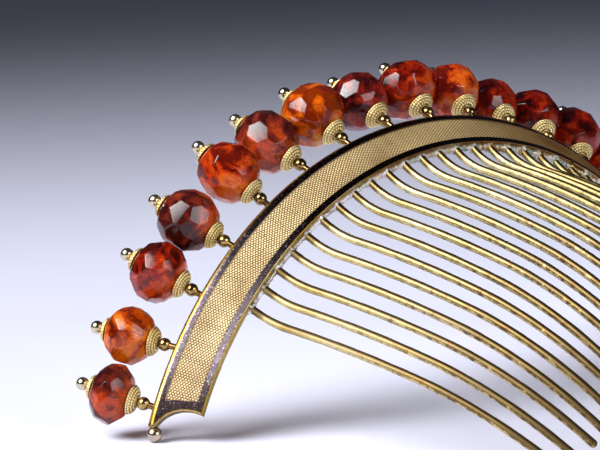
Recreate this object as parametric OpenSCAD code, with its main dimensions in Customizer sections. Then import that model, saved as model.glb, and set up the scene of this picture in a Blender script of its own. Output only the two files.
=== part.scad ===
// A hair comb bent to an arch. A gilt band stands on two ball feet and carries a row of
// faceted beads on pins, and wire teeth run forward from its inner edge to the floor.
// +X runs along the comb, +Y points the way the bead pins do, -Y the way the teeth do.

/* [Arch] */
// Radius of the circle that the collar balls stand on
arch_r = 53; // [53:0.5:54]
// Half of the angle that the band spans
band_half_angle = 69.4; // [69:0.1:69.6]

/* [Band] */
// Thickness of the band's sheet
band_t = 0.95; // [0.85:0.05:1.05]
// Height of the polished borders over the textured floor between them
border_h = 0.22; // [0.15:0.01:0.3]
// Width of the border that crosses the band at each end
end_border_w = 4.3; // [4.1:0.1:4.6]
// Radius of the hollow cut in each end of the band
end_hollow_r = 4.5; // [4.4:0.1:4.6]

/* [Feet] */
// Diameter of the ball foot under each end
foot_d = 1.9; // [1.8:0.1:2.1]

/* [Pins] */
// Angle between neighbouring pins, seen along the comb's depth
pin_step = 8.32; // [8.3:0.01:8.34]
// Diameter of the pin's wire
pin_d = 0.8; // [0.7:0.05:0.9]
// Diameter of the collar ball and of the ball on the pin's end
ball_d = 1.66; // [1.5:0.02:1.7]

/* [Beads and caps] */
// Diameter of the hole through beads and caps
hole_d = 1.0; // [0.95:0.05:1.1]
// Diameter of the flat at each end of a bead
bead_flat_d = 2.8; // [2.6:0.1:2.8]
// How far a hand-cut facet strays from its even place, in degrees
facet_sway = 4; // [3.5:0.5:5]
// Diameter of the cap under a bead
lower_cap_d = 3.7; // [3.6:0.1:3.8]
// Diameter of the cap on top of a bead
upper_cap_d = 3.1; // [2.9:0.1:3.3]

/* [Teeth] */
// Diameter of a tooth's wire
tooth_d = 1.0; // [0.9:0.05:1.1]
// Angle between neighbouring tooth roots, seen along the comb's depth
tooth_step = 3.62; // [3.6:0.01:3.64]
// Depth of the solder seam along the roots, from the band's outer face
seam_depth = 1.3; // [1.2:0.05:1.4]
// Length of a tooth's second, nearly straight bend
tooth_mid_l = 20.5; // [20:0.5:21]
// Length of a tooth's last bend, down to the tip
tooth_end_l = 23; // [22.5:0.5:23.5]

/* [Hidden] */
$fn = 48;

// One row for each pin: its lean outward, its twist along the arch, its reach from the
// collar ball to the end ball, the bead's diameter and how far the bead is turned
LEAN = 0;
TWIST = 1;
REACH = 2;
BEAD_D = 3;
TURN = 4;
pins = [
    [34.8,  3.8,  8.1, 7.90,  5],
    [31.5, -5.0,  9.0, 7.50, 22],
    [36.8,  5.0,  9.5, 8.15, 12],
    [36.0,  1.5, 10.5, 8.15, 30],
    [40.6,  5.8, 10.7, 7.75,  0],
    [32.8, -1.0, 11.0, 8.25, 17],
    [32.9, -0.6, 10.6, 8.80, 35],
    [28.6, -1.7,  9.9, 8.20,  8],
    [34.1,  0.1,  9.7, 8.90, 26],
    [30.5,  4.0,  9.8, 8.35, 14],
    [19.5,  3.5,  9.9, 8.30,  3],
    [31.0,  4.9, 10.3, 8.30, 32],
    [44.0,  0.7, 10.6, 8.00, 19],
    [40.5,  0.0, 10.3, 8.10, 10],
    [36.8, -5.0,  9.5, 8.10, 37],
    [31.5,  5.0,  9.0, 7.50, 24],
    [34.8, -3.8,  8.1, 7.90, 15]
];
pin_count = len(pins);
tooth_count = 28;

// Cross-section of the band, as distance in from the pin circle and depth along Y
outer_edge = [0.25, -1.45];
inner_edge = [3.7, -6.85];
outer_border_w = 1.45;
inner_border_w = 1.1;
border_bevel = 0.16;
outer_round_w = 0.8;
outer_round_h = 0.72;
band_w = norm(inner_edge - outer_edge);
band_along = (inner_edge - outer_edge) / band_w;
band_out = [band_along[1], -band_along[0]];

// Centre of the end hollow, as distance across from the outer edge and beyond the end
hollow_across = 5.3;
hollow_beyond = 1.4;
seam_w = 0.5;

// Number of facets round a bead, and the latitudes of its two sloping rows
facets = 9;
row_lat = 31;
crown_lat = 60;

// How a pin's pieces stack up from its collar ball
pin_sunk = 1.75;
cap_start = ball_d / 2 - 0.05;
lower_cap_h = 0.88;
upper_cap_h = 0.7;
cap_lip = 0.08;
cap_gap = 0.04;

// The tooth's route: it leaves the inner edge steeply, bends up in a knee, runs forward
// and drops again to its tip
root_in = 4.2;
root_y = -6.5;
root_heading = -41;
knee_r = 11.2;
knee_turn = 31;
mid_r = 143;
end_r = 50;
fan = 0.6;
swell = 0.06;

foot_in = 1.35;
foot_y = -1.95;
foot_angle = band_half_angle + 0.8;

// Places worked out from the route
tip_d = tooth_d + swell;
function turn_of(length, radius) = length / radius * 180 / PI;
function left_end(p, h, r, turn) =
    p + r * [sin(h + turn) - sin(h), cos(h) - cos(h + turn)];
function right_end(p, h, r, turn) =
    p + r * [sin(h) - sin(h - turn), cos(h - turn) - cos(h)];
mid_turn = turn_of(tooth_mid_l, mid_r);
end_turn = turn_of(tooth_end_l, end_r);
knee_end = left_end([0, 0], root_heading, knee_r, knee_turn);
mid_heading = root_heading + knee_turn;
mid_end = right_end(knee_end, mid_heading, mid_r, mid_turn);
end_heading = mid_heading - mid_turn;
tip = right_end(mid_end, end_heading, end_r, end_turn);

function tooth_angle(i) = (i - (tooth_count - 1) / 2) * tooth_step;
function tooth_tilt(a) = atan2(fan * sin(a), fan * cos(a) + 1 - fan);
function pin_angle(i) = (i - (pin_count - 1) / 2) * pin_step;
function bead_start() = cap_start + lower_cap_h + cap_gap;
function bead_t(i) = pins[i][REACH] - 2 * cap_start - lower_cap_h - upper_cap_h - 2 * cap_gap;

// Centre of a tooth's tip and of a pin's end ball, before the comb is laid down
function tip_at(i) = let (a = tooth_angle(i), t = tooth_tilt(a)) [
    (arch_r - root_in) * sin(a) + tip[1] * sin(t),
    root_y - tip[0],
    (arch_r - root_in) * cos(a) + tip[1] * cos(t)
];
function end_ball_at(i) = let (a = pin_angle(i), p = pins[i], c = cos(p[LEAN])) [
    arch_r * sin(a) + p[REACH] * (sin(p[LEAN]) * sin(a) + c * sin(p[TWIST]) * cos(a)),
    p[REACH] * c * cos(p[TWIST]),
    arch_r * cos(a) + p[REACH] * (sin(p[LEAN]) * cos(a) - c * sin(p[TWIST]) * sin(a))
];

// The comb rests on both ball feet and on the tips of its outer teeth, which fixes its tilt
foot_z = (arch_r - foot_in) * cos(foot_angle);
first_tip = tip_at(0);
run = foot_y - first_tip[1];
rise = foot_z - first_tip[2];
rest_tilt = asin((foot_d - tip_d) / 2 / norm([run, rise])) - atan2(rise, run);
floor_z = foot_y * sin(rest_tilt) + foot_z * cos(rest_tilt) - foot_d / 2;
function laid_y(p) = p[1] * cos(rest_tilt) - p[2] * sin(rest_tilt);
back_y = max([for (i = [0:pin_count - 1]) laid_y(end_ball_at(i))]) + ball_d / 2;
front_y = min([for (i = [0:tooth_count - 1]) laid_y(tip_at(i))]) - tip_d / 2;

// Names of the pieces on the pins, counted from the left
function two_digits(n) = n < 10 ? str("0", n) : str(n);
function bead_name(i) = str("bead_", two_digits(i + 1));
function lower_cap_name(i) = str("lower_cap_", two_digits(i + 1));
function upper_cap_name(i) = str("upper_cap_", two_digits(i + 1));

// Lays the standing arch down on the floor, with the origin under its middle
module laid() {
    translate([0, -(back_y + front_y) / 2, -floor_z])
        rotate([rest_tilt, 0, 0])
            children();
}

// Sweeps a cross-section, drawn as radius and depth, round the arch between two angles
module arch_sweep(from, to) {
    rotate([-90, 0, 0])
        rotate([0, 0, from - 90])
            rotate_extrude(angle = to - from)
                children();
}

module at_pin(i) {
    rotate([0, pin_angle(i), 0])
        translate([0, 0, arch_r])
            rotate([pins[i][LEAN] - 90, 0, -pins[i][TWIST]])
                children();
}

// A tooth is drawn with its run along X and its height along Y
module at_root(i) {
    a = tooth_angle(i);
    rotate([0, a, 0])
        translate([0, root_y, arch_r - root_in])
            rotate([0, tooth_tilt(a) - a, 0])
                rotate([90, 0, -90])
                    children();
}

// A point of the band's cross-section, from its distance across the outer face and its
// depth below that face
function on_band(across, depth) =
    let (p = outer_edge + across * band_along - depth * band_out) [arch_r - p[0], p[1]];

// The band with its border all over, its outer edge rounded, and the solder seam along
// its inner edge
module band_section() {
    polygon([
        on_band(0, band_t),
        on_band(0, outer_round_h - border_h),
        on_band(0.14 * outer_round_w, 0.58 * outer_round_h - border_h),
        on_band(0.48 * outer_round_w, 0.2 * outer_round_h - border_h),
        on_band(outer_round_w, -border_h),
        on_band(band_w - border_bevel, -border_h),
        on_band(band_w, 0),
        on_band(band_w + 0.3, 0.12),
        on_band(band_w + seam_w, 0.45),
        on_band(band_w + seam_w, 0.95),
        on_band(band_w + 0.25, seam_depth),
        on_band(band_w - 0.6, seam_depth),
        on_band(band_w - 0.95, band_t)
    ]);
}

// The floor that is sunk between the borders
module panel_section() {
    polygon([
        on_band(outer_border_w, 0),
        on_band(outer_border_w - border_bevel, -2 * border_h),
        on_band(band_w - inner_border_w + border_bevel, -2 * border_h),
        on_band(band_w - inner_border_w, 0)
    ]);
}

// Cuts the hollow out of one end of the band, square to its face
module end_hollow(side) {
    middle = on_band(hollow_across, 0);
    rotate([0, side * band_half_angle, 0])
        translate([side * hollow_beyond, middle[1], middle[0]])
            rotate([atan2(band_along[0], -band_along[1]), 0, 0])
                cylinder(r = end_hollow_r, h = 6, center = true);
}

module band_body() {
    panel_half_angle = band_half_angle - turn_of(end_border_w, arch_r);
    difference() {
        arch_sweep(-band_half_angle, band_half_angle)
            band_section();
        arch_sweep(-panel_half_angle, panel_half_angle)
            panel_section();
        for (side = [-1, 1])
            end_hollow(side);
    }
}

module wire_left(p, h, r, turn) {
    translate(p + r * [-sin(h), cos(h)])
        rotate(h - 90)
            rotate_extrude(angle = turn)
                translate([r, 0])
                    circle(d = tooth_d);
}

module wire_right(p, h, r, turn) {
    translate(p + r * [sin(h), -cos(h)])
        rotate(h + 90 - turn)
            rotate_extrude(angle = turn)
                translate([r, 0])
                    circle(d = tooth_d);
}

// A ball whose poles lie along a heading
module tooth_ball(p, h) {
    translate(p)
        rotate(h)
            rotate([0, 90, 0])
                sphere(d = tip_d);
}

// A tooth is a hair fuller where two bends meet and at its rounded tip
module tooth_wire() {
    wire_left([0, 0], root_heading, knee_r, knee_turn);
    wire_right(knee_end, mid_heading, mid_r, mid_turn);
    wire_right(mid_end, end_heading, end_r, end_turn);
    tooth_ball(knee_end, mid_heading);
    tooth_ball(mid_end, end_heading);
    tooth_ball(tip, end_heading - end_turn);
}

module pin_wire(i) {
    reach = pins[i][REACH];
    translate([0, 0, -pin_sunk])
        cylinder(d = pin_d, h = reach + pin_sunk);
    sphere(d = ball_d);
    translate([0, 0, reach])
        sphere(d = ball_d);
}

module foot(side) {
    rotate([0, side * foot_angle, 0])
        translate([0, foot_y, arch_r - foot_in])
            sphere(d = foot_d);
}

// Everything that is soldered together: band, feet, pins, teeth and the solder seam
module comb_frame() {
    color("goldenrod")
        laid() {
            band_body();
            for (i = [0:pin_count - 1])
                at_pin(i)
                    pin_wire(i);
            for (side = [-1, 1])
                foot(side);
            for (i = [0:tooth_count - 1])
                at_root(i)
                    tooth_wire();
        }
}

// A steady stand-in for a cutter's hand, between -1 and 1
function sway(seed, k) = sin(seed * 67 + k * 113);

// Keeps what lies below flat cuts that touch an egg of half-width a and half-length c,
// all near one latitude
module cut_row(a, c, lat, turn, stray, seed) {
    intersection_for(k = [0:facets - 1]) {
        u = lat + stray * sway(seed, k);
        height = 1 / norm([cos(u) / a, sin(u) / c]);
        rotate([0, 0, turn + k * 360 / facets + facet_sway * sway(seed + 5, k)])
            rotate([0, -atan2(sin(u) / c, cos(u) / a), 0])
                translate([height - 20, -10, -10])
                    cube([20, 20, 20]);
    }
}

module bead(i) {
    t = bead_t(i);
    half_step = 180 / facets;
    a = pins[i][BEAD_D] / 2 * cos(half_step + facet_sway);
    c = t / 2 / (1 - (bead_flat_d / 2 / a) * cos(crown_lat)) * sin(crown_lat);
    color("firebrick")
        laid()
            at_pin(i)
                translate([0, 0, bead_start() + t / 2])
                    rotate(pins[i][TURN])
                        difference() {
                            intersection() {
                                cylinder(d = 12, h = t, center = true);
                                cut_row(a, c, 0, half_step, facet_sway, i);
                                cut_row(a, c, row_lat, 0, facet_sway, i + 20);
                                cut_row(a, c, -row_lat, 0, facet_sway, i + 40);
                                cut_row(a, c, crown_lat, half_step, 0, i + 60);
                                cut_row(a, c, -crown_lat, half_step, 0, i + 80);
                            }
                            cylinder(d = hole_d, h = t + 1, center = true);
                        }
}

// A domed cap whose neck is at z = 0 and whose lip reaches a little past h
module cap(d, h, lip) {
    r = d / 2;
    rotate_extrude()
        polygon([
            [hole_d / 2, 0],
            [0.72, 0],
            [0.78, 0.2],
            [0.62 * r, 0.3],
            [0.88 * r, 0.62 * h],
            [r, 0.86 * h],
            [r, h + lip],
            [r - 0.14, h + lip],
            [r - 0.2, h],
            [hole_d / 2, h]
        ]);
}

module lower_cap(i) {
    color("gold")
        laid()
            at_pin(i)
                translate([0, 0, cap_start])
                    cap(lower_cap_d, lower_cap_h, cap_lip);
}

module upper_cap(i) {
    color("gold")
        laid()
            at_pin(i)
                translate([0, 0, pins[i][REACH] - cap_start])
                    mirror([0, 0, 1])
                        cap(upper_cap_d, upper_cap_h, 0);
}

comb_frame();
for (i = [0:pin_count - 1]) {
    bead(i);
    lower_cap(i);
    upper_cap(i);
}
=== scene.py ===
# Looks of the arched bead comb: gilt band, dotted panel, wire teeth, ball pins, ridged
# bead caps and faceted beads. Sizes in the dictionaries are millimetres unless they say.
import math

import bmesh
import bpy
import numpy as np
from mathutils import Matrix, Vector


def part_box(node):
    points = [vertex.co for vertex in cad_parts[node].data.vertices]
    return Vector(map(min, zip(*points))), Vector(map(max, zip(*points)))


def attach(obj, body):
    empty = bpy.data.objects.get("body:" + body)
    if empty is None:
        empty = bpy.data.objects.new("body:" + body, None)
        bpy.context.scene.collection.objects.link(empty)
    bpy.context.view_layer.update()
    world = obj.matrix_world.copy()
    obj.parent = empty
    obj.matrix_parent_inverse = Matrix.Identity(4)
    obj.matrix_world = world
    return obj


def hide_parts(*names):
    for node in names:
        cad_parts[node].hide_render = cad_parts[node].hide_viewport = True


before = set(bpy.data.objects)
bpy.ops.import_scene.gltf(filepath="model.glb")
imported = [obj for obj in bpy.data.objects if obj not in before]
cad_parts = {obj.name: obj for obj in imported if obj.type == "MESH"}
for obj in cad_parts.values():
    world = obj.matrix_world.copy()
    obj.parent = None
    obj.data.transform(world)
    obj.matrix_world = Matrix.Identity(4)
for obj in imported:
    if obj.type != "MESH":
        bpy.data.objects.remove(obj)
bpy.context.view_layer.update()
rng = np.random.default_rng(7)
print("frame loaded")

# The standing arch, as the part has it: its radius and how it is laid down, and its pins
arch = {"radius": 53.0, "tiltDeg": -2.1831, "shiftY": 19.4778, "floorZ": 16.6074}
pins = {
    "stepDeg": 8.32,
    # lean outward, twist along the arch and reach to the end ball, one of each per pin
    "lean": [34.8, 31.5, 36.8, 36.0, 40.6, 32.8, 32.9, 28.6, 34.1,
             30.5, 19.5, 31.0, 44.0, 40.5, 36.8, 31.5, 34.8],
    "twist": [3.8, -5.0, 5.0, 1.5, 5.8, -1.0, -0.6, -1.7, 0.1,
              4.0, 3.5, 4.9, 0.7, 0.0, -5.0, 5.0, -3.8],
    "reach": [8.1, 9.0, 9.5, 10.5, 10.7, 11.0, 10.6, 9.9, 9.7,
              9.8, 9.9, 10.3, 10.6, 10.3, 9.5, 9.0, 8.1],
}


def laidDown(p):
    # Turns standing millimetres about X and moves them to the row frame, in metres
    c, s = math.cos(math.radians(arch["tiltDeg"])), math.sin(math.radians(arch["tiltDeg"]))
    y = p[..., 1] * c - p[..., 2] * s + arch["shiftY"]
    z = p[..., 1] * s + p[..., 2] * c - arch["floorZ"]
    return np.stack([p[..., 0], y, z], -1) / 1000.0


def grids(name, points, around=False, start=None, end=None, values=None, flip=False, sharp=50):
    # Joins k grids of n by m points, closed round m if asked, with a pole at either end
    k, n, m = points.shape[:3]
    rows, cols = np.arange(n - 1), np.arange(m if around else m - 1)
    a = rows[:, None] * m + cols[None, :]
    b = rows[:, None] * m + (cols[None, :] + 1) % m
    quads = np.stack([a, b, b + m, a + m], -1).reshape(1, -1, 4)
    quads = (quads + (np.arange(k) * n * m)[:, None, None]).reshape(-1, 4)
    verts, tris = [points.reshape(-1, 3)], []
    nxt = (np.arange(m) + 1) % m
    base = (np.arange(k) * n * m)[:, None]
    for pole, row, order in ((start, 0, 1), (end, n - 1, -1)):
        if pole is None:
            continue
        tip = (sum(len(v) for v in verts) + np.arange(k))[:, None] + np.zeros((1, m), int)
        ring = base + row * m
        tri = np.stack([tip, ring + nxt[None, :], ring + np.arange(m)[None, :]], -1)
        tris.append(tri.reshape(-1, 3)[:, ::order])
        verts.append(pole)
    if flip:
        quads = quads[:, ::-1]
        tris = [t[:, ::-1] for t in tris]
    mesh = bpy.data.meshes.new(name)
    faces = quads.tolist() + [f for t in tris for f in t.tolist()]
    mesh.from_pydata(np.concatenate(verts).tolist(), [], faces)
    for key, value in (values or {}).items():
        full = np.zeros(len(mesh.vertices), np.float32)
        full[:value.size] = value.ravel()
        at = k * n * m
        for pole, row in ((start, 0), (end, n - 1)):
            if pole is not None:
                full[at:at + k] = value.reshape(k, n, m)[:, row, 0]
                at += k
        mesh.attributes.new(key, "FLOAT", "POINT").data.foreach_set("value", full)
    mesh.polygons.foreach_set("use_smooth", np.ones(len(mesh.polygons), bool))
    mesh.set_sharp_from_angle(angle=math.radians(sharp))
    mesh.update()
    piece = bpy.data.objects.new(name, mesh)
    bpy.context.scene.collection.objects.link(piece)
    return piece


def joined(piece, ends, sharp):
    # Puts both into one mesh, with the rims that lie on each other made one
    work = bmesh.new()
    work.from_mesh(piece.data)
    work.from_mesh(ends.data)
    bmesh.ops.remove_doubles(work, verts=work.verts, dist=1e-7)
    work.to_mesh(piece.data)
    work.free()
    bpy.data.objects.remove(ends)
    piece.data.set_sharp_from_angle(angle=math.radians(sharp))
    return piece


def wearing(piece, material, slot, *replaced):
    # Gives a piece its paint and the CAD nodes that it stands for; its slot is not used
    piece.data.materials.append(material)
    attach(piece, "root")
    if replaced:
        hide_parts(*replaced)


# Shader helpers: each adds a node or two and returns the output that the next one reads
class Paint:
    def __init__(self, name):
        # A new material, its shader, and each point's place on the object in metres
        self.material = bpy.data.materials.new(name)
        self.material.use_nodes = True
        self.tree = self.material.node_tree
        self.shader = self.tree.nodes["Principled BSDF"]
        self.place = self.tree.nodes.new("ShaderNodeTexCoord").outputs["Object"]

    def set(self, **values):
        # Gives the shader values that are the same all over; an underscore stands for a space
        for key, value in values.items():
            self.shader.inputs[key.replace("_", " ")].default_value = value

    def join(self, output, key):
        # Gives the shader a value that changes from point to point
        self.tree.links.new(output, self.shader.inputs[key])

    def value(self, name):
        # What a build function wrote on the mesh under this name
        node = self.tree.nodes.new("ShaderNodeAttribute")
        node.attribute_name = name
        return node.outputs["Fac"]

    def noise(self, scale, detail=3.0, rough=0.55, warp=0.0):
        # Cloudy noise between 0 and 1, about scale clouds to the metre
        node = self.tree.nodes.new("ShaderNodeTexNoise")
        node.inputs["Scale"].default_value = scale
        node.inputs["Detail"].default_value = detail
        node.inputs["Roughness"].default_value = rough
        node.inputs["Distortion"].default_value = warp
        self.tree.links.new(self.place, node.inputs["Vector"])
        return node.outputs["Fac"]

    def distance(self, point):
        # The length of the way from a point inside to the surface
        moved = self.tree.nodes.new("ShaderNodeMapping")
        moved.inputs["Location"].default_value = [-v for v in point]
        self.tree.links.new(self.place, moved.inputs["Vector"])
        length = self.tree.nodes.new("ShaderNodeVectorMath")
        length.operation = "LENGTH"
        self.tree.links.new(moved.outputs["Vector"], length.inputs[0])
        return length.outputs["Value"]

    def ramp(self, fac, stops, smooth=False):
        # Blends from stop to stop as fac rises: each stop is a value of fac and a grey or colour
        node = self.tree.nodes.new("ShaderNodeValToRGB")
        node.color_ramp.interpolation = "EASE" if smooth else "LINEAR"
        while len(node.color_ramp.elements) < len(stops):
            node.color_ramp.elements.new(0.5)
        for element, (at, color) in zip(node.color_ramp.elements, stops):
            element.position = at
            grey = isinstance(color, (int, float))
            element.color = (color, color, color, 1) if grey else (*color, 1)
        self.tree.links.new(fac, node.inputs["Fac"])
        return node.outputs["Color"]

    def mix(self, fac, a, b):
        # a where fac is 0, b where it is 1, and between them a blend
        node = self.tree.nodes.new("ShaderNodeMix")
        node.data_type = "RGBA"
        for value, key in ((fac, 0), (a, 6), (b, 7)):
            if isinstance(value, (int, float)):
                node.inputs[key].default_value = value
            elif isinstance(value, tuple):
                node.inputs[key].default_value = (*value, 1)
            else:
                self.tree.links.new(value, node.inputs[key])
        return node.outputs[2]

    def math(self, kind, a, b=0.0):
        # a and b added, subtracted or multiplied, or the size of a alone
        node = self.tree.nodes.new("ShaderNodeMath")
        node.operation = kind
        for value, socket in ((a, node.inputs[0]), (b, node.inputs[1])):
            if isinstance(value, (int, float)):
                socket.default_value = value
            else:
                self.tree.links.new(value, socket)
        return node.outputs[0]

    def bump(self, height, strength, distance):
        # Shades the surface as if height, from 0 to 1, raised it by up to distance in metres
        node = self.tree.nodes.new("ShaderNodeBump")
        node.inputs["Strength"].default_value = strength
        node.inputs["Distance"].default_value = distance
        self.tree.links.new(height, node.inputs["Height"])
        self.join(node.outputs["Normal"], "Normal")


# The band: a slanted strip with polished borders, whose ends are hollowed by a circle
band = {
    "halfAngleDeg": 69.4, "outerEdge": (0.25, -1.45), "innerEdge": (3.7, -6.85),
    "sheet": 0.95, "borderHigh": 0.22, "outerBorder": 1.45, "innerBorder": 1.1,
    "endBorder": 3.9, "endSlant": 0.21, "bevel": 0.16, "roundWide": 0.8, "roundHigh": 0.72,
    "hollowRadius": 4.5, "hollowAcross": 5.3, "hollowBeyond": 1.4,
    # how far the sunk floor lies under the borders' foot, and the small round of the end's edge
    "floorDrop": 0.06, "endRound": 0.1, "stations": 420, "endStations": 22, "sideStations": 5,
    "sharpDeg": 40,
    # where the polished crest starts across the strip, and how much further in at the feet
    "crestFrom": 0.34, "crestFurther": 0.36,
    # linear red, green and blue: high is at the arch's top and low toward its feet
    # the edge and side tones are painted reflection: dark up high, bright toward the lit feet
    "edgeHigh": (0.26, 0.13, 0.045), "edgeLow": (0.52, 0.34, 0.028),
    "sideHigh": (0.16, 0.085, 0.03), "sideLow": (0.52, 0.40, 0.19),
    # streak is dark streaking in the crest's painted reflection, and speck is pale scratches
    "streak": (0.02, 0.014, 0.016), "speck": (0.36, 0.30, 0.30),
}
outer, inner = np.array(band["outerEdge"]), np.array(band["innerEdge"])
bandWide = float(np.linalg.norm(inner - outer))
along = (inner - outer) / bandWide
outward = np.array([along[1], -along[0]])


def onBand(theta, across, depth):
    # A point of the strip: angle round the arch, distance across and depth under its face
    drop = outer[0] + across * along[0] - depth * outward[0]
    y = outer[1] + across * along[1] - depth * outward[1]
    r = arch["radius"] - drop
    t = np.radians(theta)
    return laidDown(np.stack([r * np.sin(t), y + 0 * t, r * np.cos(t)], -1))


def step(x, a, b):
    # Eases from 0 at a to 1 at b
    t = np.clip((x - a) / (b - a), 0, 1)
    return t * t * (3 - 2 * t)


def quarter(x):
    # Falls along a quarter circle, from 1 at x = 0 to 0 at x = 1
    return 1 - np.sqrt(np.clip(1 - (1 - np.clip(x, 0, 1)) ** 2, 0, 1))


def bandEnd(across):
    # Half-angle at which the strip ends, less what the hollow takes at that distance across
    bite = np.sqrt(np.maximum(band["hollowRadius"] ** 2 - (across - band["hollowAcross"]) ** 2, 0))
    bite = np.maximum(bite - band["hollowBeyond"], 0)
    return band["halfAngleDeg"] - np.degrees(bite / arch["radius"])


def panelEnd(across):
    # Half-angle at which the dotted panel ends, a little sooner toward the inner edge
    slant = band["endSlant"] * np.clip(across - band["outerBorder"], 0, 4)
    return band["halfAngleDeg"] - np.degrees((band["endBorder"] + slant) / arch["radius"])


def buildBand():
    # Sweeps a ring of points, face then edge then underside then side, from end to end
    bev, wo, wi, w = band["bevel"], band["outerBorder"], band["innerBorder"], bandWide
    endPart = 0.25  # the end borders' share of the way along, past the dotted panel's end at 1
    turn = np.linspace(0, math.pi / 2, 10)
    u = np.unique(np.concatenate([
        band["roundWide"] * (1 - np.cos(turn)), np.linspace(band["roundWide"], wo - bev, 6),
        np.linspace(wo - bev, wo, 6), np.linspace(wo, w - wi, 16),
        np.linspace(w - wi, w - wi + bev, 6), np.linspace(w - wi + bev, w - bev, 8),
        w - bev * np.cos(turn[::2]), [w]]).round(4))
    m, sides = len(u), band["sideStations"]
    ringU = np.concatenate([u, np.full(sides, w), u[::-1], np.zeros(sides)])
    endT = np.linspace(1, 1 + endPart, band["endStations"])[1:]
    t = np.concatenate([-endT[::-1], np.linspace(-1, 1, band["stations"]), endT])
    tt, uu = np.meshgrid(t, ringU, indexing="ij")
    share = np.clip((np.abs(tt) - 1) / endPart, 0, 1)
    inside, end = panelEnd(uu), bandEnd(uu)
    theta = np.sign(tt) * np.where(share > 0, inside + share * (end - inside), np.abs(tt) * inside)
    raised = np.maximum(1 - step(uu, wo - bev, wo), step(uu, w - wi, w - wi + bev))
    raised = np.maximum(raised, step(np.abs(theta), inside, inside + 0.18))
    face = band["roundHigh"] * quarter(uu / band["roundWide"]) - band["borderHigh"] * raised
    face = face + bev * quarter((w - uu) / bev) + band["endRound"] * quarter((1 - share) / 0.05)
    face = face + band["floorDrop"] * (1 - raised)
    # 0 is the face, 1 the inner side, 2 the underside and 3 the outer side
    part = np.zeros_like(ringU, int)
    part[m:m + sides] = 1
    part[m + sides:2 * m + sides] = 2
    part[2 * m + sides:] = 3
    depth = np.where(part == 0, face, band["sheet"])
    k = (np.arange(sides) + 1) / (sides + 1)
    for cols, first, last in ((slice(m, m + sides), m - 1, m + sides),
                              (slice(2 * m + sides, 2 * m + 2 * sides), 2 * m + sides - 1, 0)):
        a, b = depth[:, first][:, None], depth[:, last][:, None]
        depth[:, cols] = a * (1 - k) + b * k
    lift = np.abs(theta) / band["halfAngleDeg"]
    # the rounded edge widens toward the feet, so the crest starts further in there
    split = band["crestFrom"] + band["crestFurther"] * lift ** 2
    hollowRim = step(share, 0.82, 0.95)
    crest = raised * step(uu, split - 0.10, split + 0.08) * (1 - step(uu, w - 0.14, w - 0.05))
    crest = crest * (1 - hollowRim)
    values = {
        "border": np.where(part == 0, crest, 0),
        "line": np.where(part == 0, np.clip(1 - np.abs(raised - 0.45) * 2.2, 0, 1), 0),
        # foot rises toward the feet, fully on the lit left and only to 0.35 on the right; the band's
        # painted reflections and highlight follow it
        "foot": np.where(theta < 0, lift, 0.35 * lift),
        "wall": np.maximum(1.0 * (part == 3)[None], hollowRim),
    }
    points = onBand(theta, uu, depth)[None]
    strip = grids("band", points, around=True, values=values)
    # End faces join the face's points to the underside's, at either end
    rows = np.linspace(0, 1, sides + 2)[:, None]
    closing = []
    for row in (0, -1):
        top, low = points[0, row, :m], points[0, row, m + sides:2 * m + sides][::-1]
        cap = top[None] * (1 - rows[..., None]) + low[None] * rows[..., None]
        closing.append(cap if row == 0 else cap[:, ::-1])
    ones = np.ones((2, sides + 2, m))
    values = {"border": 0 * ones, "line": 0 * ones, "foot": ones, "wall": ones}
    ends = grids("band_ends", np.stack(closing), values=values, flip=True)
    return joined(strip, ends, band["sharpDeg"])


# The dotted panel: a thin sheet over the band's sunk floor
panel = {
    "pitch": 0.38, "rowPitch": 0.31, "dotRadius": 0.155, "dotHigh": 0.12, "grid": 0.08,
    # how far the sheet runs under the borders, and stands over the band's floor between dots
    "under": 0.1, "proud": 0.012,
    # the lower tone is paler, painted light toward the lit left foot, and the gap tone is painted shade
    # between the dots
    "gold": (0.76, 0.56, 0.26), "lower": (0.68, 0.52, 0.28), "gap": (0.05, 0.026, 0.009),
    # the shade tone is painted shade over the far side, past the arch's top
    "shade": (0.22, 0.10, 0.018), "patch": (0.40, 0.25, 0.10),
}


def buildPanel():
    # Rows of round dots, every second row moved half a pitch: each dot is a half ellipsoid
    pitch, row, high = panel["pitch"], panel["rowPitch"], panel["dotHigh"]
    lo = band["outerBorder"] - panel["under"]
    hi = bandWide - band["innerBorder"] + panel["under"]
    across = np.linspace(lo, hi, int((hi - lo) / panel["grid"]) + 1)
    reach = math.radians(float(panelEnd(np.array(0.0)))) * arch["radius"] + panel["under"]
    run = np.linspace(-reach, reach, int(2 * reach / panel["grid"]) + 1)
    ss, uu = np.meshgrid(run, across, indexing="ij")
    far = np.full_like(ss, 9.0)
    for k in (0, 1):
        j = np.floor(ss / row) + k
        du = (uu - lo - (j % 2) * pitch / 2 + pitch / 2) % pitch - pitch / 2
        far = np.minimum(far, np.hypot(du, ss - j * row))
    dot = np.sqrt(np.clip(1 - (far / panel["dotRadius"]) ** 2, 0, 1))
    edge = np.minimum(step(uu, lo, lo + 0.12), 1 - step(uu, hi - 0.12, hi))
    # a slow wave wears the dots lower here and there
    worn = 0.75 + 0.25 * np.sin(ss * 0.31 + 1.3) * np.sin(uu * 1.1 + ss * 0.07)
    depth = band["floorDrop"] * (1 - edge) - (high * worn * dot + panel["proud"]) * edge
    points = onBand(np.degrees(ss / arch["radius"]), uu, depth)[None]
    lie = (ss / reach)[None]
    values = {"dot": dot[None], "foot": np.clip(-lie, 0, 1), "far": np.clip(lie, 0, 1)}
    return grids("band_panel", points, values=values, sharp=180)


# Tones of the gilt metal for all its pieces, linear red, green and blue
gilt = {
    "gold": (0.70, 0.50, 0.17), "pale": (0.86, 0.73, 0.42), "brown": (0.11, 0.05, 0.018),
    # the dark and lilac tones serve as the band crest's painted reflection
    "dark": (0.014, 0.007, 0.006), "lilac": (0.125, 0.105, 0.125), "green": (0.16, 0.22, 0.13),
    "grey": (0.50, 0.47, 0.44), "white": (0.90, 0.86, 0.84), "olive": (0.30, 0.24, 0.10),
}


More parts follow.
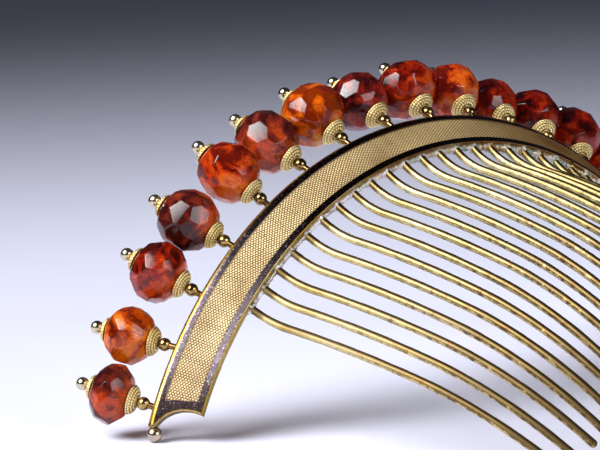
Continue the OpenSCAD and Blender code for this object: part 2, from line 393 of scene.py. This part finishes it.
def bandPaint():
    # Edge, side and crest each have their tones, mixed by what buildBand wrote on the points; they are
    # mostly painted reflection, dark up high and bright toward the feet, with a painted highlight line
    p = Paint("band_gilt")
    foot = p.value("foot")
    wide = p.noise(90, 4, 0.6)
    fine = p.noise(900, 5, 0.7)
    scratch = p.noise(4200, 2, 0.6)
    # painted reflection: the rounded edge is brown at the arch's top and bright toward the feet
    edge = p.mix(p.ramp(foot, [(0.15, 0), (0.75, 1)]), band["edgeHigh"], band["edgeLow"])
    edge = p.mix(p.ramp(wide, [(0.50, 0), (0.66, 0.4)]), edge, gilt["pale"])
    edge = p.mix(p.ramp(fine, [(0.62, 0), (0.72, 0.5)]), edge, gilt["brown"])
    # painted reflection on the outer side and the hollow's rim: dark up high, a noisy brown and gold
    # toward the feet
    worn = p.mix(wide, gilt["brown"], band["sideLow"])
    side = p.mix(p.ramp(foot, [(0.1, 0), (0.5, 1)]), band["sideHigh"], worn)
    edge = p.mix(p.value("wall"), edge, side)
    # painted reflection on the polished crest: nearly black up high and at the ends, lilac grey between
    # them, broken by dark streaks; pale scratch specks lie over it
    zone = p.ramp(foot, [(0.45, 0.0), (0.66, 0.45), (0.84, 0.9), (0.93, 0.12)])
    paintedReflection = p.math("MULTIPLY", zone, p.ramp(wide, [(0.35, 0.45), (0.6, 1.0)]))
    crestReflectionAndSpecks = p.mix(paintedReflection, gilt["dark"], gilt["lilac"])
    streaks = p.ramp(p.noise(700, 4, 0.7), [(0.42, 0), (0.6, 0.8)])
    crestReflectionAndSpecks = p.mix(p.math("MULTIPLY", streaks, paintedReflection), crestReflectionAndSpecks, band["streak"])
    specks = p.math("MULTIPLY", p.ramp(scratch, [(0.60, 0), (0.66, 1)]),
                    p.ramp(foot, [(0.15, 0.15), (0.55, 0.8), (0.88, 0.8), (0.93, 0.3)]))
    crestReflectionAndSpecks = p.mix(specks, crestReflectionAndSpecks, band["speck"])
    color = p.mix(p.value("border"), edge, crestReflectionAndSpecks)
    # painted highlight: a white line along the borders' bevels, stronger toward the feet
    rim = p.math("MULTIPLY", p.ramp(p.value("line"), [(0.1, 0), (0.6, 1)]),
                 p.ramp(foot, [(0.2, 0), (0.6, 1)]))
    color = p.mix(rim, color, gilt["white"])
    p.join(color, "Base Color")
    p.join(p.ramp(fine, [(0.3, 0.22), (0.7, 0.40)]), "Roughness")
    p.set(Metallic=1.0)
    p.bump(p.noise(1500, 4, 0.6), 0.2, 0.00003)
    return p.material


def panelPaint():
    # Gold on the dots with painted shade between them, paler toward the lit left foot as painted light,
    # and darkened by painted shade past the arch's top
    p = Paint("panel_gilt")
    wide = p.noise(140, 4, 0.6)
    # painted light: paler toward the lit left foot
    gold = p.mix(p.ramp(p.value("foot"), [(0.1, 0), (0.9, 1)]), panel["gold"], panel["lower"])
    # painted shade over the far side, past the arch's top
    gold = p.mix(p.ramp(p.value("far"), [(0.0, 0.05), (0.28, 0.95)]), gold, panel["shade"])
    gold = p.mix(p.ramp(wide, [(0.5, 0), (0.66, 0.6)]), gold, panel["patch"])
    # painted shade in the gaps between the dots
    color = p.mix(p.ramp(p.value("dot"), [(0.1, 1), (0.65, 0)]), gold, panel["gap"])
    p.join(color, "Base Color")
    p.set(Metallic=0.6, Roughness=0.5)
    return p.material


bandMaterial, panelMaterial = bandPaint(), panelPaint()
wearing(buildBand(), bandMaterial, "gilt_frame", "comb_frame")
wearing(buildPanel(), panelMaterial, "gilt_frame")
print("band built")

# The teeth: round wires along three arcs, a knee, a long reach and a falling end
teeth = {
    "count": 28, "stepDeg": 3.62, "wire": 1.0, "rootIn": 4.2, "rootY": -6.5,
    "headingDeg": -41, "kneeRadius": 11.2, "kneeTurnDeg": 31, "midRadius": 143.0,
    "midLong": 20.5, "endRadius": 50.0, "endLong": 23.0, "fan": 0.6, "rings": 90, "sides": 20,
    # how far a tip strays aside, and by what share the wire's thickness wavers
    "stray": 0.12, "waver": 0.04,
    "golds": ((0.66, 0.48, 0.16), (0.82, 0.66, 0.30), (0.90, 0.78, 0.46)),
    # the far teeth's tone is painted shade, the root tone a painted shadow of the band, the under tone
    # painted shade on the undersides, the top line's tone a painted dark reflection, and black is
    # tarnish mixed with painted dark reflection
    "farPaintedShade": (0.42, 0.27, 0.09), "tarnish": (0.34, 0.20, 0.07), "root": (0.16, 0.11, 0.035),
    "under": (0.20, 0.14, 0.05), "bloom": (0.24, 0.25, 0.12), "paintedTopReflection": (0.05, 0.028, 0.015),
    "black": (0.085, 0.058, 0.022),
}


def toothLine(s):
    # Position and heading at arc length s, by adding up small chords of the three arcs
    knee = math.radians(teeth["kneeTurnDeg"]) * teeth["kneeRadius"]
    fine = np.linspace(0, s[-1], 4001)
    bend = np.where(fine < knee, 1 / teeth["kneeRadius"], np.where(
        fine < knee + teeth["midLong"], -1 / teeth["midRadius"], -1 / teeth["endRadius"]))
    stepLong = fine[1] - fine[0]
    heading = math.radians(teeth["headingDeg"]) + np.concatenate([[0], np.cumsum(bend[:-1]) * stepLong])
    middle = (heading[1:] + heading[:-1]) / 2
    x = np.concatenate([[0], np.cumsum(np.cos(middle)) * stepLong])
    y = np.concatenate([[0], np.cumsum(np.sin(middle)) * stepLong])
    return np.interp(s, fine, x), np.interp(s, fine, y), np.interp(s, fine, heading)


def buildTeeth():
    # Carries a circle along each tooth's line, with a quarter circle's fall for the tip
    knee = math.radians(teeth["kneeTurnDeg"]) * teeth["kneeRadius"]
    total = knee + teeth["midLong"] + teeth["endLong"]
    n, m, k = teeth["rings"], teeth["sides"], teeth["count"]
    r0 = teeth["wire"] / 2
    s = np.concatenate([np.linspace(0, total, n), total + r0 * np.sin(np.linspace(0.2, 1.4, 7))])
    x, y, h = toothLine(s)
    radius = np.where(s <= total, r0, r0 * np.sqrt(np.maximum(1 - ((s - total) / r0) ** 2, 0)))
    radius = radius * (1 - teeth["waver"] * np.sin(s * 0.9) * np.sin(s * 0.37))
    turn = np.linspace(0, 2 * math.pi, m, endpoint=False)
    a = (np.arange(k) - (k - 1) / 2) * math.radians(teeth["stepDeg"])
    tilt = np.arctan2(teeth["fan"] * np.sin(a), teeth["fan"] * np.cos(a) + 1 - teeth["fan"])
    lift = rng.normal(0, teeth["stray"], (k, 1)) * (s / total) ** 2
    side = rng.normal(0, teeth["stray"] * 1.5, (k, 1)) * (s / total) ** 1.5
    lift[[0, -1]] = 0
    px = x[None, :, None] - np.sin(h)[None, :, None] * np.cos(turn) * radius[None, :, None]
    py = y[None, :, None] + np.cos(h)[None, :, None] * np.cos(turn) * radius[None, :, None]
    py = py + lift[:, :, None]
    pz = np.sin(turn) * radius[None, :, None] + side[:, :, None]
    ct, st = np.cos(tilt)[:, None, None], np.sin(tilt)[:, None, None]
    rootR = arch["radius"] - teeth["rootIn"]
    standX = rootR * np.sin(a)[:, None, None] - pz * ct + py * st
    standZ = rootR * np.cos(a)[:, None, None] + pz * st + py * ct
    standY = teeth["rootY"] - px + 0 * pz
    points = laidDown(np.stack([standX, standY, standZ], -1))
    top = points.mean(2)
    lie = np.broadcast_to((s / total)[None, :, None], points.shape[:3])
    crown = np.broadcast_to(0.5 + 0.5 * np.cos(turn)[None, None, :], points.shape[:3])
    which = np.broadcast_to(rng.random(k)[:, None, None], points.shape[:3])
    far = np.broadcast_to(np.linspace(0, 1, k)[:, None, None], points.shape[:3])
    return grids("teeth", points, around=True, start=top[:, 0], end=top[:, -1],
                 values={"lie": lie, "crown": crown, "far": far, "which": which})


def teethPaint():
    # Gold by noise, darkened by tarnish, painted shade, a painted shadow and a painted dark reflection:
    # by height on the wire, by the way from root (0) to tip (1) and toward the far teeth
    p = Paint("teeth_gilt")
    lie, crown = p.value("lie"), p.value("crown")
    wide = p.noise(160, 4, 0.65)
    fine = p.noise(1000, 4, 0.65)
    gold = p.ramp(wide, list(zip((0.32, 0.5, 0.68), teeth["golds"])))
    gold = p.mix(p.ramp(p.value("which"), [(0.2, 0.35), (0.8, 0)]), gold, gilt["olive"])
    # painted shade: the teeth toward the far end of the row darker
    gold = p.mix(p.ramp(p.value("far"), [(0.35, 0), (0.75, 0.6)]), gold, teeth["farPaintedShade"])
    # tarnish, brown toward the tip; a painted shadow of the band over each root; painted shade in olive
    # on the undersides, and green spots there
    worn = p.math("ADD", p.math("MULTIPLY", lie, 0.6), p.math("MULTIPLY", wide, 0.5))
    color = p.mix(p.ramp(worn, [(0.5, 0), (0.85, 0.7)]), gold, teeth["tarnish"])
    color = p.mix(p.ramp(lie, [(0.035, 0.9), (0.055, 0)]), color, teeth["root"])
    under = p.math("ADD", crown, p.math("MULTIPLY", p.math("SUBTRACT", wide, 0.5), 0.5))
    color = p.mix(p.ramp(under, [(0.16, 0.9), (0.40, 0.0)]), color, teeth["under"])
    spots = p.math("MULTIPLY", p.ramp(p.noise(420, 5, 0.75), [(0.54, 0), (0.62, 1)]),
                   p.ramp(crown, [(0.2, 0.9), (0.75, 0)]))
    color = p.mix(spots, color, gilt["green"])
    bloom = p.math("MULTIPLY", p.ramp(p.noise(560, 5, 0.75), [(0.50, 0), (0.60, 0.8)]),
                   p.ramp(p.value("far"), [(0.25, 0.15), (0.6, 1)]))
    color = p.mix(bloom, color, teeth["bloom"])
    # a painted dark reflection along the top, then the upper side blackens toward the tip, in grains,
    # as tarnish mixed with painted dark reflection
    color = p.mix(p.ramp(crown, [(0.84, 0), (0.95, 0.9)]), color, teeth["paintedTopReflection"])
    grainy = p.math("ADD", crown, p.math("MULTIPLY", p.math("SUBTRACT", fine, 0.5), 1.6))
    black = p.math("MULTIPLY", p.ramp(grainy, [(0.47, 0), (0.64, 0.85)]),
                   p.ramp(lie, [(0.22, 0), (0.62, 1)]))
    color = p.mix(black, color, teeth["black"])
    speck = p.math("MULTIPLY", p.ramp(fine, [(0.54, 0), (0.64, 0.7)]),
                   p.ramp(lie, [(0.08, 0.2), (0.5, 1)]))
    color = p.mix(speck, color, gilt["brown"])
    p.join(color, "Base Color")
    p.join(p.ramp(wide, [(0.35, 0.42), (0.7, 0.52)]), "Roughness")
    p.set(Metallic=1.0)
    p.bump(fine, 0.15, 0.00005)
    return p.material


wearing(buildTeeth(), teethPaint(), "gilt_frame")
print("teeth built")

# The solder along the roots: a tube with a swelling at each tooth and a rough skin
solder = {"thick": 0.36, "lump": 0.275, "rough": 0.04, "across": 0.06, "depth": 0.72,
          "pastTeethDeg": 1.2, "stations": 1500, "sides": 16,
          # a swelling's width in tooth pitches, and the angle over which either end tapers
          "swellWide": 0.16, "taperDeg": 0.6,
          # the seam thickens by a share, and its colours change, from one angle to another
          "thicker": 0.7, "thickerDeg": (-10, 35), "patchDeg": (-40, 5),
          "gold": (0.42, 0.27, 0.10), "pit": (0.26, 0.18, 0.10),
          "patches": ((0.20, 0.10, 0.03), (0.42, 0.27, 0.09), (0.66, 0.63, 0.56), gilt["green"])}


def buildSolder():
    # Carries a circle along the roots, whose radius swells at each tooth and waves all over
    half = ((teeth["count"] - 1) / 2 * teeth["stepDeg"]) + solder["pastTeethDeg"]
    n, m = solder["stations"], solder["sides"]
    t = np.linspace(-half, half, n)
    turn = np.linspace(0, 2 * math.pi, m, endpoint=False)
    near = np.abs((t / teeth["stepDeg"] + (teeth["count"] - 1) / 2 + 0.5) % 1 - 0.5)
    swell = np.exp(-(near / solder["swellWide"]) ** 2)
    wave = sum(np.sin(t * f + q)[:, None] * np.cos(turn * g + q * 2)[None] for f, g, q in (
        (9.1, 1, 0.3), (17.7, 2, 1.9), (31.3, 3, 4.1), (53.9, 2, 2.7), (5.3, 1, 5.5)))
    more = 1 + solder["thicker"] * step(t, *solder["thickerDeg"])[:, None]
    r = solder["thick"] * more + solder["lump"] * swell[:, None] + solder["rough"] * wave
    r = r * np.sqrt(np.clip((half - np.abs(t)) / solder["taperDeg"], 0, 1))[:, None]
    uu = bandWide + solder["across"] + r * np.cos(turn)[None]
    dd = solder["depth"] + r * np.sin(turn)[None]
    points = onBand(t[:, None] + 0 * uu, uu, dd)[None]
    middle = points[0].mean(1)
    far = np.broadcast_to(step(t, *solder["patchDeg"])[:, None], r.shape)[None].copy()
    return grids("solder", points[:, 1:-1], around=True, start=middle[None, 0], end=middle[None, -1],
                 values={"far": far[:, 1:-1]}, sharp=180)


def solderPaint():
    # Grey and white by noise, giving way to gold, grey and green patches at the far side
    p = Paint("solder_grey")
    wide = p.noise(260, 4, 0.6)
    fine = p.noise(900, 4, 0.6)
    color = p.ramp(wide, [(0.36, solder["gold"]), (0.44, gilt["grey"]), (0.54, gilt["white"])])
    color = p.mix(p.ramp(fine, [(0.58, 0), (0.68, 0.5)]), color, solder["pit"])
    patch = p.ramp(p.noise(520, 3, 0.6), list(zip((0.38, 0.47, 0.53, 0.60), solder["patches"])))
    color = p.mix(p.math("MULTIPLY", p.value("far"), 0.9), color, patch)
    p.join(color, "Base Color")
    p.join(p.ramp(wide, [(0.4, 0.95), (0.56, 0.2)]), "Metallic")
    p.join(p.ramp(fine, [(0.3, 0.25), (0.7, 0.5)]), "Roughness")
    p.bump(fine, 0.4, 0.00012)
    return p.material


wearing(buildSolder(), solderPaint(), "gilt_frame")
print("solder built")

# Pins, balls and feet
balls = {"ball": 1.66, "wire": 0.8, "sunk": 1.7, "foot": 1.9, "footIn": 1.35, "footY": -1.95,
         "footAngleDeg": 70.2, "rings": 22, "sides": 30, "footRings": 28, "footSides": 40,
         # heights of the wire's rings inside the bead, and the gap in radians at a ball's pole
         "wireAt": (1.2, 2.0, 3.0), "pinPole": 0.08, "footPole": 0.06,
         # the pins' tones are dark, a painted dark reflection on collar balls and wires, and the end
         # ball's tone is paler, painted light
         "ballTones": ((0.11, 0.06, 0.022), (0.34, 0.23, 0.09), gilt["gold"]),
         "footTones": ((0.26, 0.19, 0.14), (0.46, 0.38, 0.30), gilt["gold"]),
         "endBall": (0.66, 0.60, 0.45)}
pinCount = len(pins["lean"])


def pinPlaces():
    # Origin and three axes of each pin: two across it and one along it
    a = (np.arange(pinCount) - (pinCount - 1) / 2) * math.radians(pins["stepDeg"])
    lean, twist = np.radians(pins["lean"]), np.radians(pins["twist"])
    up = np.stack([np.sin(a), 0 * a, np.cos(a)], -1)
    tangent = np.stack([np.cos(a), 0 * a, -np.sin(a)], -1)
    back = np.array([0.0, 1.0, 0.0])
    axis = (np.cos(lean) * np.cos(twist))[:, None] * back + np.sin(lean)[:, None] * up \
        + (np.cos(lean) * np.sin(twist))[:, None] * tangent
    first = np.cross(axis, up)
    first /= np.linalg.norm(first, axis=1)[:, None]
    return arch["radius"] * up, first, np.cross(axis, first), axis


def turned(radius, height, sides):
    # Spins profiles about each pin: radius and height are k by n, or k by n by sides
    o, first, second, axis = pinPlaces()
    turn = np.linspace(0, 2 * math.pi, sides, endpoint=False)
    r = radius if radius.ndim == 3 else radius[:, :, None]
    h = height if height.ndim == 3 else height[:, :, None]
    first, second, axis = (v[:, None, None] for v in (first, second, axis))
    ring = (r * np.cos(turn))[..., None] * first + (r * np.sin(turn))[..., None] * second
    return laidDown(o[:, None, None] + ring + (h + 0 * r)[..., None] * axis)


def onAxis(height):
    # The point of each pin's axis at a height over its collar ball
    o, _, _, axis = pinPlaces()
    return laidDown(o + height[:, None] * axis)


def buildPins():
    # One closed profile per pin: wire, collar ball, wire, end ball
    reach = np.array(pins["reach"])[:, None]
    ballR, wireR = balls["ball"] / 2, balls["wire"] / 2
    opening = math.asin(wireR / ballR)
    arc = np.linspace(math.pi - opening, opening, balls["rings"])
    r = np.concatenate([[wireR], ballR * np.sin(arc), [wireR] * 3])
    h = np.concatenate([[-balls["sunk"]], ballR * np.cos(arc), balls["wireAt"]])
    topArc = np.linspace(math.pi - opening, balls["pinPole"], balls["rings"])
    radius = np.concatenate([np.broadcast_to(r, (pinCount, len(r))),
                             np.broadcast_to(ballR * np.sin(topArc), (pinCount, len(topArc)))], 1)
    height = np.concatenate([np.broadcast_to(h, (pinCount, len(h))),
                             reach + (ballR * np.cos(topArc))[None]], 1)
    points = turned(radius, height, balls["sides"])
    # 1 on the wire under the collar ball, and 1 on the end ball
    neck = (1 - step(height, -0.85, -0.6))[:, :, None] + 0 * points[..., 0]
    tip = step(height, 4.0, 5.0)[:, :, None] + 0 * points[..., 0]
    return grids("pins", points, around=True, values={"neck": neck, "tip": tip},
                 start=onAxis(np.full(pinCount, -balls["sunk"])), end=onAxis(reach[:, 0] + ballR))


def buildFeet():
    # A ball at each end of the arch, by latitude and longitude
    t = np.radians(np.array([-1, 1]) * balls["footAngleDeg"])
    r = arch["radius"] - balls["footIn"]
    centre = np.stack([r * np.sin(t), np.full(2, balls["footY"]), r * np.cos(t)], -1)
    lat = np.linspace(balls["footPole"], math.pi - balls["footPole"], balls["footRings"])[:, None]
    lon = np.linspace(0, 2 * math.pi, balls["footSides"], endpoint=False)[None]
    rr = balls["foot"] / 2
    ball = np.stack([np.sin(lat) * np.cos(lon), np.sin(lat) * np.sin(lon), np.cos(lat) + 0 * lon], -1)
    poles = rr * np.array([0, 0, 1.0])
    points = laidDown(centre[:, None, None] + rr * ball[None])
    return grids("ball_feet", points, around=True, start=laidDown(centre + poles),
                 end=laidDown(centre - poles), flip=True, sharp=180)


def ballPaint(name, tones):
    # Three tones by noise, with paler end balls and a brown wire under each collar ball; on the pins
    # the dark tones are a painted dark reflection and the paler end balls painted light
    p = Paint(name)
    wide = p.noise(420, 4, 0.6)
    base = p.ramp(wide, list(zip((0.3, 0.52, 0.75), tones)))
    # painted light: the end balls paler than the collar balls
    base = p.mix(p.math("MULTIPLY", p.value("tip"), 0.75), base, balls["endBall"])
    base = p.mix(p.ramp(p.noise(1500, 5, 0.7), [(0.60, 0), (0.70, 0.6)]), base, gilt["brown"])
    base = p.mix(p.math("MULTIPLY", p.value("neck"), 0.85), base, gilt["brown"])
    p.join(base, "Base Color")
    p.join(p.ramp(wide, [(0.3, 0.12), (0.7, 0.3)]), "Roughness")
    p.set(Metallic=1.0)
    return p.material


ballMaterial = ballPaint("ball_gilt", balls["ballTones"])
footMaterial = ballPaint("foot_gilt", balls["footTones"])
wearing(buildPins(), ballMaterial, "gilt_frame")
wearing(buildFeet(), footMaterial, "gilt_frame")
print("pins and feet built")

# Bead caps: domes with rings of fine grains
caps = {
    "start": 0.78, "lowerHigh": 0.88, "lowerWide": 3.7, "upperHigh": 0.7, "upperWide": 3.1,
    "rings": 4, "grain": 0.36, "grainHigh": 0.15, "hole": 0.5, "rows": 27,
    "lowerSides": 144, "upperSides": 110,
    # where the dome starts: its radius, its height and the radius of the flat under it
    "domeFrom": 0.70, "domeUp": 0.14, "flat": 0.66,
    # how far the lower cap's rim stands up, and how far in its wall's two inner corners lie
    "lip": 0.08, "wallOut": 0.14, "wallIn": 0.2,
    "tones": ((0.74, 0.54, 0.18), (0.95, 0.77, 0.36), (0.80, 0.60, 0.24)),
    # the groove tone is painted shade between the grains
    "groove": (0.15, 0.08, 0.022),
}


def buildCaps(name, upper):
    # A dome's profile with a hump for each ring, cut into grains round it, closed at the hole
    high = caps["upperHigh" if upper else "lowerHigh"]
    rim = caps["upperWide" if upper else "lowerWide"] / 2
    sides = caps["upperSides" if upper else "lowerSides"]
    lip = 0.0 if upper else caps["lip"]
    r0, h0 = caps["domeFrom"], caps["domeUp"]
    t = np.linspace(0, 1, caps["rows"])
    r = r0 + (rim - r0 - caps["grainHigh"] * 0.5) * np.sin(t * math.pi / 2) ** 0.9
    h = h0 + (high + lip - h0) * (1 - np.cos(t * math.pi / 2)) ** 0.85
    turn = np.linspace(0, 2 * math.pi, sides, endpoint=False)
    ring = np.abs(np.sin(math.pi * caps["rings"] * t)) ** 0.7
    which = np.minimum(np.floor(caps["rings"] * t), caps["rings"] - 1)
    middle = np.interp((which + 0.5) / caps["rings"], t, r)
    count = np.round(2 * math.pi * middle / caps["grain"])[:, None]
    grain = 0.5 + 0.5 * np.cos(count * turn[None] + which[:, None] * 2.4)
    wave = ring[:, None] * (0.3 + 0.7 * grain)
    rr = r[:, None] + caps["grainHigh"] * wave * np.sin(t * math.pi / 2)[:, None]
    hh = h[:, None] - caps["grainHigh"] * wave * np.cos(t * math.pi / 2)[:, None]
    flat = np.ones((1, sides))
    inside = [(rim - caps["wallOut"], high + lip), (rim - caps["wallIn"], high), (caps["hole"], high)]
    rr = np.concatenate([flat * caps["hole"], flat * caps["flat"], rr]
                        + [flat * a for a, _ in inside])
    hh = np.concatenate([flat * 0.0, flat * 0.0, hh] + [flat * b for _, b in inside])
    rr, hh = np.concatenate([rr, rr[:1]]), np.concatenate([hh, hh[:1]])
    wave = np.concatenate([flat * 0.4, flat * 0.4, wave] + [flat * 0.5] * 4)
    radius = np.broadcast_to(rr, (pinCount, *rr.shape))
    height = np.broadcast_to(hh, (pinCount, *hh.shape)) + caps["start"]
    if upper:
        height = np.array(pins["reach"])[:, None, None] - height
    points = turned(radius, height, sides)
    grains = np.broadcast_to(wave, (pinCount, *wave.shape)).copy()
    return grids(name, points, around=True, values={"grain": grains}, flip=upper, sharp=75)


def capPaint():
    # Three tones by noise on the grains, and painted shade in dark brown in the grooves between them
    p = Paint("cap_gilt")
    wide = p.noise(300, 4, 0.6)
    gold = p.ramp(wide, list(zip((0.3, 0.55, 0.8), caps["tones"])))
    color = p.mix(p.ramp(p.value("grain"), [(0.12, 0.95), (0.6, 0)]), gold, caps["groove"])
    p.join(color, "Base Color")
    p.set(Metallic=0.9, Roughness=0.36)
    return p.material


capMaterial = capPaint()
for place, upper in (("lower", False), ("upper", True)):
    nodes = [f"{place}_cap_{i + 1:02d}" for i in range(pinCount)]
    wearing(buildCaps(place + "_caps", upper), capMaterial, "gilt_cap", *nodes)
print("caps built")

# Beads keep their cut shape: a copy of each, its edges worn round, with a roughness for each facet
beads = {
    # deep tone, body tone and bright tone, linear red, green and blue
    "amber": ((0.10, 0.006, 0.001), (0.46, 0.052, 0.001), (0.90, 0.23, 0.008)),
    "honey": ((0.20, 0.016, 0.001), (0.72, 0.12, 0.002), (0.98, 0.38, 0.020)),
    "orange": ((0.13, 0.006, 0.002), (0.58, 0.050, 0.004), (0.88, 0.18, 0.012)),
    "red": ((0.045, 0.002, 0.001), (0.32, 0.012, 0.002), (0.76, 0.09, 0.006)),
    "dusk": ((0.050, 0.006, 0.005), (0.20, 0.020, 0.010), (0.66, 0.085, 0.010)),
    "plum": ((0.028, 0.002, 0.003), (0.15, 0.008, 0.006), (0.46, 0.03, 0.01)),
    "garnet": ((0.022, 0.001, 0.001), (0.16, 0.005, 0.002), (0.50, 0.03, 0.003)),
    "moods": ["dusk", "amber", "red", "dusk", "orange", "dusk", "honey", "plum", "red",
              "orange", "garnet", "garnet", "garnet", "red", "dusk", "orange", "red"],
    # the painted glow's place from the middle and how far that strays, both in metres
    "glowAt": (0.0014, -0.0012, -0.0016), "glowStray": 0.0008,
    "wornEdge": 0.24, "clear": 0.45, "paintedGlow": 0.22,
    # corners nearer than weld become one, faces within flatDeg one facet, and edges over
    # wornDeg are worn round
    "weld": 0.16, "flatDeg": 1.5, "wornDeg": 9, "wornSteps": 3,
}


def beadPaint(i):
    # Deep, body and bright tones by noise plus a painted glow of light that fades with distance from a
    # point
    deep, body, bright = beads[beads["moods"][i]]
    p = Paint(f"stone_{i + 1:02d}")
    low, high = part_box(f"bead_{i + 1:02d}")
    middle = [(low[k] + high[k]) / 2 for k in range(3)]
    # the painted glow, light through the bead, lies away from the light
    shift = rng.normal(0, beads["glowStray"], 3)
    far = p.distance([middle[k] + beads["glowAt"][k] + shift[k] for k in range(3)])
    paintedGlow = p.ramp(p.math("MULTIPLY", far, 100), [(0.22, 1), (0.60, 0)])
    cloud = p.noise(240 + 17 * (i % 5), 5, 0.6, warp=1.3)
    swirl = p.noise(520, 5, 0.65, warp=2.4)
    mixed = p.math("ADD", p.math("MULTIPLY", cloud, 0.84), p.math("MULTIPLY", paintedGlow, beads["paintedGlow"]))
    color = p.ramp(mixed, [(0.40, deep), (0.49, body), (0.60, bright)], smooth=True)
    # thin dark veins run where the swirled noise crosses its middle
    vein = p.math("ABSOLUTE", p.math("SUBTRACT", swirl, 0.5))
    color = p.mix(p.ramp(vein, [(0.0, 0.8), (0.03, 0)]), color, deep)
    p.join(color, "Base Color")
    p.set(Transmission_Weight=beads["clear"], IOR=1.54, Specular_IOR_Level=0.14,
          Subsurface_Weight=0.7, Subsurface_Radius=(1.0, 0.3, 0.12), Subsurface_Scale=0.0022)
    p.join(p.ramp(p.value("facet"), [(0.3, 0.03), (0.9, 0.16)]), "Roughness")
    p.bump(p.noise(700, 3, 0.5), 0.06, 0.0001)
    return p.material


def buildBead(i):
    # Joins the copied facets' corners, and gives the facets of one plane the same number
    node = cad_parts[f"bead_{i + 1:02d}"]
    name = f"faceted_bead_{i + 1:02d}"
    work = bmesh.new()
    work.from_mesh(node.data)
    bmesh.ops.remove_doubles(work, verts=work.verts, dist=beads["weld"] / 1000)
    bmesh.ops.dissolve_limit(work, angle_limit=math.radians(beads["flatDeg"]),
                             verts=work.verts, edges=work.edges)
    mesh = bpy.data.meshes.new(name)
    work.to_mesh(mesh)
    work.free()
    if "custom_normal" in mesh.attributes:
        mesh.attributes.remove(mesh.attributes["custom_normal"])
    normals = np.zeros(len(mesh.polygons) * 3, np.float32)
    mesh.polygons.foreach_get("normal", normals)
    key = normals.reshape(-1, 3).astype(float) @ np.array([127.1, 311.7, 74.7])
    facet = np.abs(np.sin(key.round(1) + i) * 43758.5453) % 1
    mesh.attributes.new("facet", "FLOAT", "FACE").data.foreach_set("value", facet.astype(np.float32))
    mesh.polygons.foreach_set("use_smooth", np.ones(len(mesh.polygons), bool))
    mesh.materials.clear()
    mesh.materials.append(beadPaint(i))
    piece = bpy.data.objects.new(name, mesh)
    bpy.context.scene.collection.objects.link(piece)
    bevel = piece.modifiers.new("worn_edges", "BEVEL")
    bevel.width, bevel.segments = beads["wornEdge"] / 1000, beads["wornSteps"]
    bevel.limit_method, bevel.angle_limit = "ANGLE", math.radians(beads["wornDeg"])
    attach(piece, "root")
    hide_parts(node.name)


for i in range(pinCount):
    buildBead(i)
print("beads cut and painted")

# Stage: a plain pale floor
stage = {"size": 6.0, "tone": (0.72, 0.745, 0.90)}


def buildStage():
    # A square of paper, its two near tones mixed by noise
    mesh = bpy.data.meshes.new("floor")
    h = stage["size"] / 2
    mesh.from_pydata([(-h, -h, 0), (h, -h, 0), (h, h, 0), (-h, h, 0)], [], [(0, 1, 2, 3)])
    floor = bpy.data.objects.new("floor", mesh)
    bpy.context.scene.collection.objects.link(floor)
    p = Paint("floor_paper")
    grey = tuple(0.97 * v for v in stage["tone"])
    p.join(p.mix(p.noise(60, 3, 0.5), grey, stage["tone"]), "Base Color")
    p.set(Roughness=0.6)
    mesh.materials.append(p.material)


# Lights, in metres and watts: a wide one at the upper left, a weak one in front, and the room
lights = {
    "key": {"place": (-0.49, 0.10, 0.49), "aim": (-0.02, -0.03, 0.02), "size": (0.50, 0.45),
            "power": 1.75, "color": (1.0, 0.985, 0.99), "spreadDeg": 58},
    "fill": {"place": (0.1, -0.8, 0.35), "aim": (0, 0, 0.02), "size": (0.6, 0.4),
             "power": 0.7, "color": (0.95, 0.96, 1.0), "spreadDeg": 70},
}
room = {"color": (0.52, 0.55, 0.70), "strength": 0.065}


def softLight(name, light):
    # A rectangle of light, turned from its place to face its aim
    area = bpy.data.lights.new(name, "AREA")
    area.shape, area.size, area.size_y = "RECTANGLE", *light["size"]
    area.energy, area.color = light["power"], light["color"]
    area.spread = math.radians(light["spreadDeg"])
    lamp = bpy.data.objects.new(name, area)
    bpy.context.scene.collection.objects.link(lamp)
    lamp.location = light["place"]
    toward = Vector(light["aim"]) - Vector(light["place"])
    lamp.rotation_euler = toward.to_track_quat("-Z", "Y").to_euler()


buildStage()
for name, light in lights.items():
    softLight(name, light)
world = bpy.data.worlds.new("studio")
world.use_nodes = True
background = world.node_tree.nodes["Background"]
background.inputs["Color"].default_value = (*room["color"], 1)
background.inputs["Strength"].default_value = room["strength"]
bpy.context.scene.world = world

# Camera: its place in metres, its turn and downward tilt in radians, its lens in millimetres
view = {"place": (-0.27885, -0.26911, 0.08002), "azimuth": 0.7234, "pitch": 0.1443, "lens": 186.15}
cameraData = bpy.data.cameras.new("photo_view")
cameraData.sensor_width = 36.0
cameraData.lens = view["lens"]
cameraData.clip_start = 0.01
camera = bpy.data.objects.new("photo_view", cameraData)
bpy.context.scene.collection.objects.link(camera)
camera.location = view["place"]
camera.rotation_euler = (math.pi / 2 - view["pitch"], 0, -view["azimuth"])
bpy.context.scene.camera = camera
bpy.context.scene.view_settings.view_transform = "Standard"
print("stage, lights and camera set")
